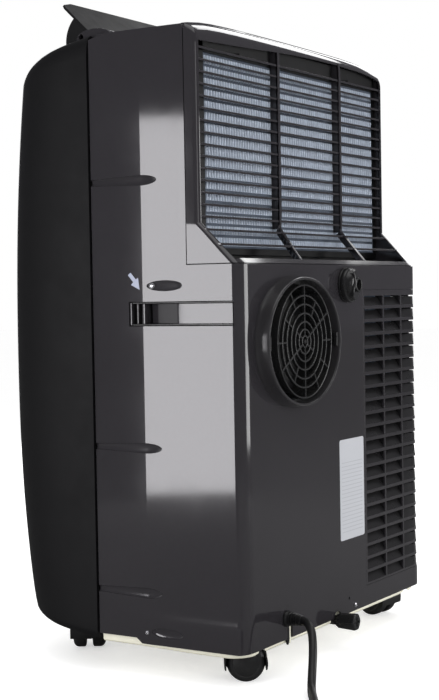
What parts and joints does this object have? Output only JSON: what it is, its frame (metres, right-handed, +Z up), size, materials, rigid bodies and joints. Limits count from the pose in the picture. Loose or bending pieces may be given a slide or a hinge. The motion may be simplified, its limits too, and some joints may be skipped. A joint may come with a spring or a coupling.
{
  "type": "portable air conditioner",
  "caption": "Upright portable air conditioner on casters with a bowed matte front, glossy casing, rear intake grille, exhaust collar, open top flap and a coiled mains lead.",
  "frame": {"origin": "floor level under the middle of the object, without its free cord", "axes": "+Z up, -Y front (bowed shell), +Y rear (exhaust collar), +X the side with the collar and the cord"},
  "size_m": [0.6432, 0.7223, 0.7798],
  "materials": {
    "matte_black": "fine matte moulded texture",
    "gloss_grey": "glossy dark charcoal",
    "grille_grey": "glossy dark grey",
    "filter_black": "matte black mesh",
    "duct_black": "satin black",
    "cream": "matte ivory",
    "label_white": "blank satin label",
    "screw_steel": "bright",
    "motor_steel": "plated steel",
    "vane_black": "satin black",
    "inner_grey": "matte grey",
    "display": "polished dark window",
    "board_green": "coated board",
    "fin_aluminium": "bluish fins",
    "compressor_black": "black enamel",
    "pipe_copper": "bare copper",
    "cord_rubber": "satin black jacket",
    "key_grey": "satin",
    "key_red": "satin",
    "caster_black": "satin black",
    "caster_wheel": "hard black wheel"
  },
  "bodies": {
    "cabinet": {"front_shell": "matte_black", "rear_casing": "gloss_grey", "top_cover": "gloss_grey", "base_pan": "cream", "evaporator_coil": "fin_aluminium", "condenser_grille": "grille_grey", "condenser_coil": "fin_aluminium", "exhaust_collar": "duct_black", "exhaust_guard": "duct_black", "upper_drain_port": "duct_black", "right_handle_cup": "gloss_grey", "left_handle_cup": "gloss_grey", "rating_label": "label_white", "pocket_screw": "screw_steel", "base_screw": "screw_steel", "rear_screw": "screw_steel", "flap_motor": "motor_steel", "outlet_duct": "inner_grey", "control_panel": "duct_black", "display_window": "display", "control_board": "board_green", "evaporator_scroll": "inner_grey", "evaporator_motor": "motor_steel", "condenser_scroll": "inner_grey", "condenser_motor": "motor_steel", "compressor": "compressor_black", "refrigerant_pipe": "pipe_copper", "drain_tray": "inner_grey", "cord_gland": "cord_rubber", "power_cord": "cord_rubber", "cord_coil": "cord_rubber", "plug": "cord_rubber"},
    "flap": {"outlet_flap": "matte_black"},
    "grille": {"intake_grille": "grille_grey", "air_filter": "filter_black"},
    "vane_link": {"vane_link": "vane_black"},
    "upper_cap": {"upper_drain_cap": "duct_black"},
    "lower_cap": {"lower_drain_cap": "duct_black"},
    "evaporator_fan": {"evaporator_blower": "vane_black"},
    "condenser_fan": {"condenser_blower": "vane_black"},
    "test_key": {"plug_test_button": "key_grey"},
    "reset_key": {"plug_reset_button": "key_red"},
    "vane_1": {"vane_1": "vane_black"},
    "vane_2": {"vane_2": "vane_black"},
    "vane_3": {"vane_3": "vane_black"},
    "vane_4": {"vane_4": "vane_black"},
    "vane_5": {"vane_5": "vane_black"},
    "key_power": {"button_power": "key_grey"},
    "key_mode": {"button_mode": "key_grey"},
    "key_down": {"button_down": "key_grey"},
    "key_up": {"button_up": "key_grey"},
    "key_timer": {"button_timer": "key_grey"},
    "caster_rear_right": {"caster_hood_rear_right": "caster_black"},
    "wheel_rear_right": {"caster_wheel_rear_right": "caster_wheel"},
    "caster_front_right": {"caster_hood_front_right": "caster_black"},
    "wheel_front_right": {"caster_wheel_front_right": "caster_wheel"},
    "caster_rear_left": {"caster_hood_rear_left": "caster_black"},
    "wheel_rear_left": {"caster_wheel_rear_left": "caster_wheel"},
    "caster_front_left": {"caster_hood_front_left": "caster_black"},
    "wheel_front_left": {"caster_wheel_front_left": "caster_wheel"}
  },
  "joints": [
    {"name": "flap_swing", "type": "hinge", "parent": "cabinet", "child": "flap", "pos_m": [0, -0.03675, 0.729], "axis": [1, 0, 0], "range_deg": [-12, 50]},
    {"name": "vane_1_turn", "type": "hinge", "parent": "cabinet", "child": "vane_1", "pos_m": [-0.14, -0.06175, 0.678], "axis": [0, 0, 1], "range_deg": [-30, 30]},
    {"name": "vane_2_turn", "type": "hinge", "parent": "cabinet", "child": "vane_2", "pos_m": [-0.07, -0.06175, 0.678], "axis": [0, 0, 1], "range_deg": [-30, 30]},
    {"name": "vane_3_turn", "type": "hinge", "parent": "cabinet", "child": "vane_3", "pos_m": [0, -0.06175, 0.678], "axis": [0, 0, 1], "range_deg": [-30, 30]},
    {"name": "vane_4_turn", "type": "hinge", "parent": "cabinet", "child": "vane_4", "pos_m": [0.07, -0.06175, 0.678], "axis": [0, 0, 1], "range_deg": [-30, 30]},
    {"name": "vane_5_turn", "type": "hinge", "parent": "cabinet", "child": "vane_5", "pos_m": [0.14, -0.06175, 0.678], "axis": [0, 0, 1], "range_deg": [-30, 30]},
    {"name": "vane_link_turn", "type": "hinge", "parent": "vane_1", "child": "vane_link", "pos_m": [-0.14, -0.08175, 0.6515], "axis": [0, 0, 1], "range_deg": [-30, 30]},
    {"name": "grille_pull", "type": "slide", "parent": "cabinet", "child": "grille", "axis": [0, 1, 0], "range_m": [0, 0.08]},
    {"name": "upper_cap_turn", "type": "hinge", "parent": "cabinet", "child": "upper_cap", "pos_m": [-0.02, 0.18325, 0.44], "axis": [0, 1, 0], "continuous": true},
    {"name": "lower_cap_turn", "type": "hinge", "parent": "cabinet", "child": "lower_cap", "pos_m": [0.013, 0.18325, 0.035], "axis": [0, 1, 0], "continuous": true},
    {"name": "evaporator_fan_spin", "type": "hinge", "parent": "cabinet", "child": "evaporator_fan", "pos_m": [0, 0.01825, 0.583], "axis": [0, 1, 0], "continuous": true},
    {"name": "condenser_fan_spin", "type": "hinge", "parent": "cabinet", "child": "condenser_fan", "pos_m": [0.1, 0.11425, 0.358], "axis": [0, 1, 0], "continuous": true},
    {"name": "button_power_press", "type": "slide", "parent": "cabinet", "child": "key_power", "axis": [0, 0.1676, -0.9859], "range_m": [0, 0.0015], "stiffness_N_per_m": 400},
    {"name": "button_mode_press", "type": "slide", "parent": "cabinet", "child": "key_mode", "axis": [0, 0.1676, -0.9859], "range_m": [0, 0.0015], "stiffness_N_per_m": 400},
    {"name": "button_down_press", "type": "slide", "parent": "cabinet", "child": "key_down", "axis": [0, 0.1676, -0.9859], "range_m": [0, 0.0015], "stiffness_N_per_m": 400},
    {"name": "button_up_press", "type": "slide", "parent": "cabinet", "child": "key_up", "axis": [0, 0.1676, -0.9859], "range_m": [0, 0.0015], "stiffness_N_per_m": 400},
    {"name": "button_timer_press", "type": "slide", "parent": "cabinet", "child": "key_timer", "axis": [0, 0.1676, -0.9859], "range_m": [0, 0.0015], "stiffness_N_per_m": 400},
    {"name": "plug_test_press", "type": "slide", "parent": "cabinet", "child": "test_key", "axis": [0, 0, -1], "range_m": [0, 0.0012], "stiffness_N_per_m": 400},
    {"name": "plug_reset_press", "type": "slide", "parent": "cabinet", "child": "reset_key", "axis": [0, 0, -1], "range_m": [0, 0.0012], "stiffness_N_per_m": 400},
    {"name": "caster_rear_right_swivel", "type": "hinge", "parent": "cabinet", "child": "caster_rear_right", "pos_m": [0.19, 0.13925, 0.043], "axis": [0, 0, 1], "continuous": true},
    {"name": "wheel_rear_right_roll", "type": "hinge", "parent": "caster_rear_right", "child": "wheel_rear_right", "pos_m": [0.18467, 0.14771, 0.0214], "axis": [-0.8462, -0.5329, 0], "continuous": true},
    {"name": "caster_front_right_swivel", "type": "hinge", "parent": "cabinet", "child": "caster_front_right", "pos_m": [0.1495, -0.09645, 0.043], "axis": [0, 0, 1], "continuous": true},
    {"name": "wheel_front_right_roll", "type": "hinge", "parent": "caster_front_right", "child": "wheel_front_right", "pos_m": [0.14104, -0.10178, 0.0214], "axis": [0.5329, -0.8462, 0], "continuous": true},
    {"name": "caster_rear_left_swivel", "type": "hinge", "parent": "cabinet", "child": "caster_rear_left", "pos_m": [-0.19, 0.13925, 0.043], "axis": [0, 0, 1], "continuous": true},
    {"name": "wheel_rear_left_roll", "type": "hinge", "parent": "caster_rear_left", "child": "wheel_rear_left", "pos_m": [-0.19139, 0.12935, 0.0214], "axis": [0.9903, -0.1392, 0], "continuous": true},
    {"name": "caster_front_left_swivel", "type": "hinge", "parent": "cabinet", "child": "caster_front_left", "pos_m": [-0.1495, -0.09645, 0.043], "axis": [0, 0, 1], "continuous": true},
    {"name": "wheel_front_left_roll", "type": "hinge", "parent": "caster_front_left", "child": "wheel_front_left", "pos_m": [-0.1445, -0.10511, 0.0214], "axis": [0.866, 0.5, 0], "continuous": true}
  ],
  "couplings": [
    {"joint": "vane_2_turn", "follows": "vane_1_turn", "ratio": 1},
    {"joint": "vane_3_turn", "follows": "vane_1_turn", "ratio": 1},
    {"joint": "vane_4_turn", "follows": "vane_1_turn", "ratio": 1},
    {"joint": "vane_5_turn", "follows": "vane_1_turn", "ratio": 1},
    {"joint": "vane_link_turn", "follows": "vane_1_turn", "ratio": -1}
  ]
}
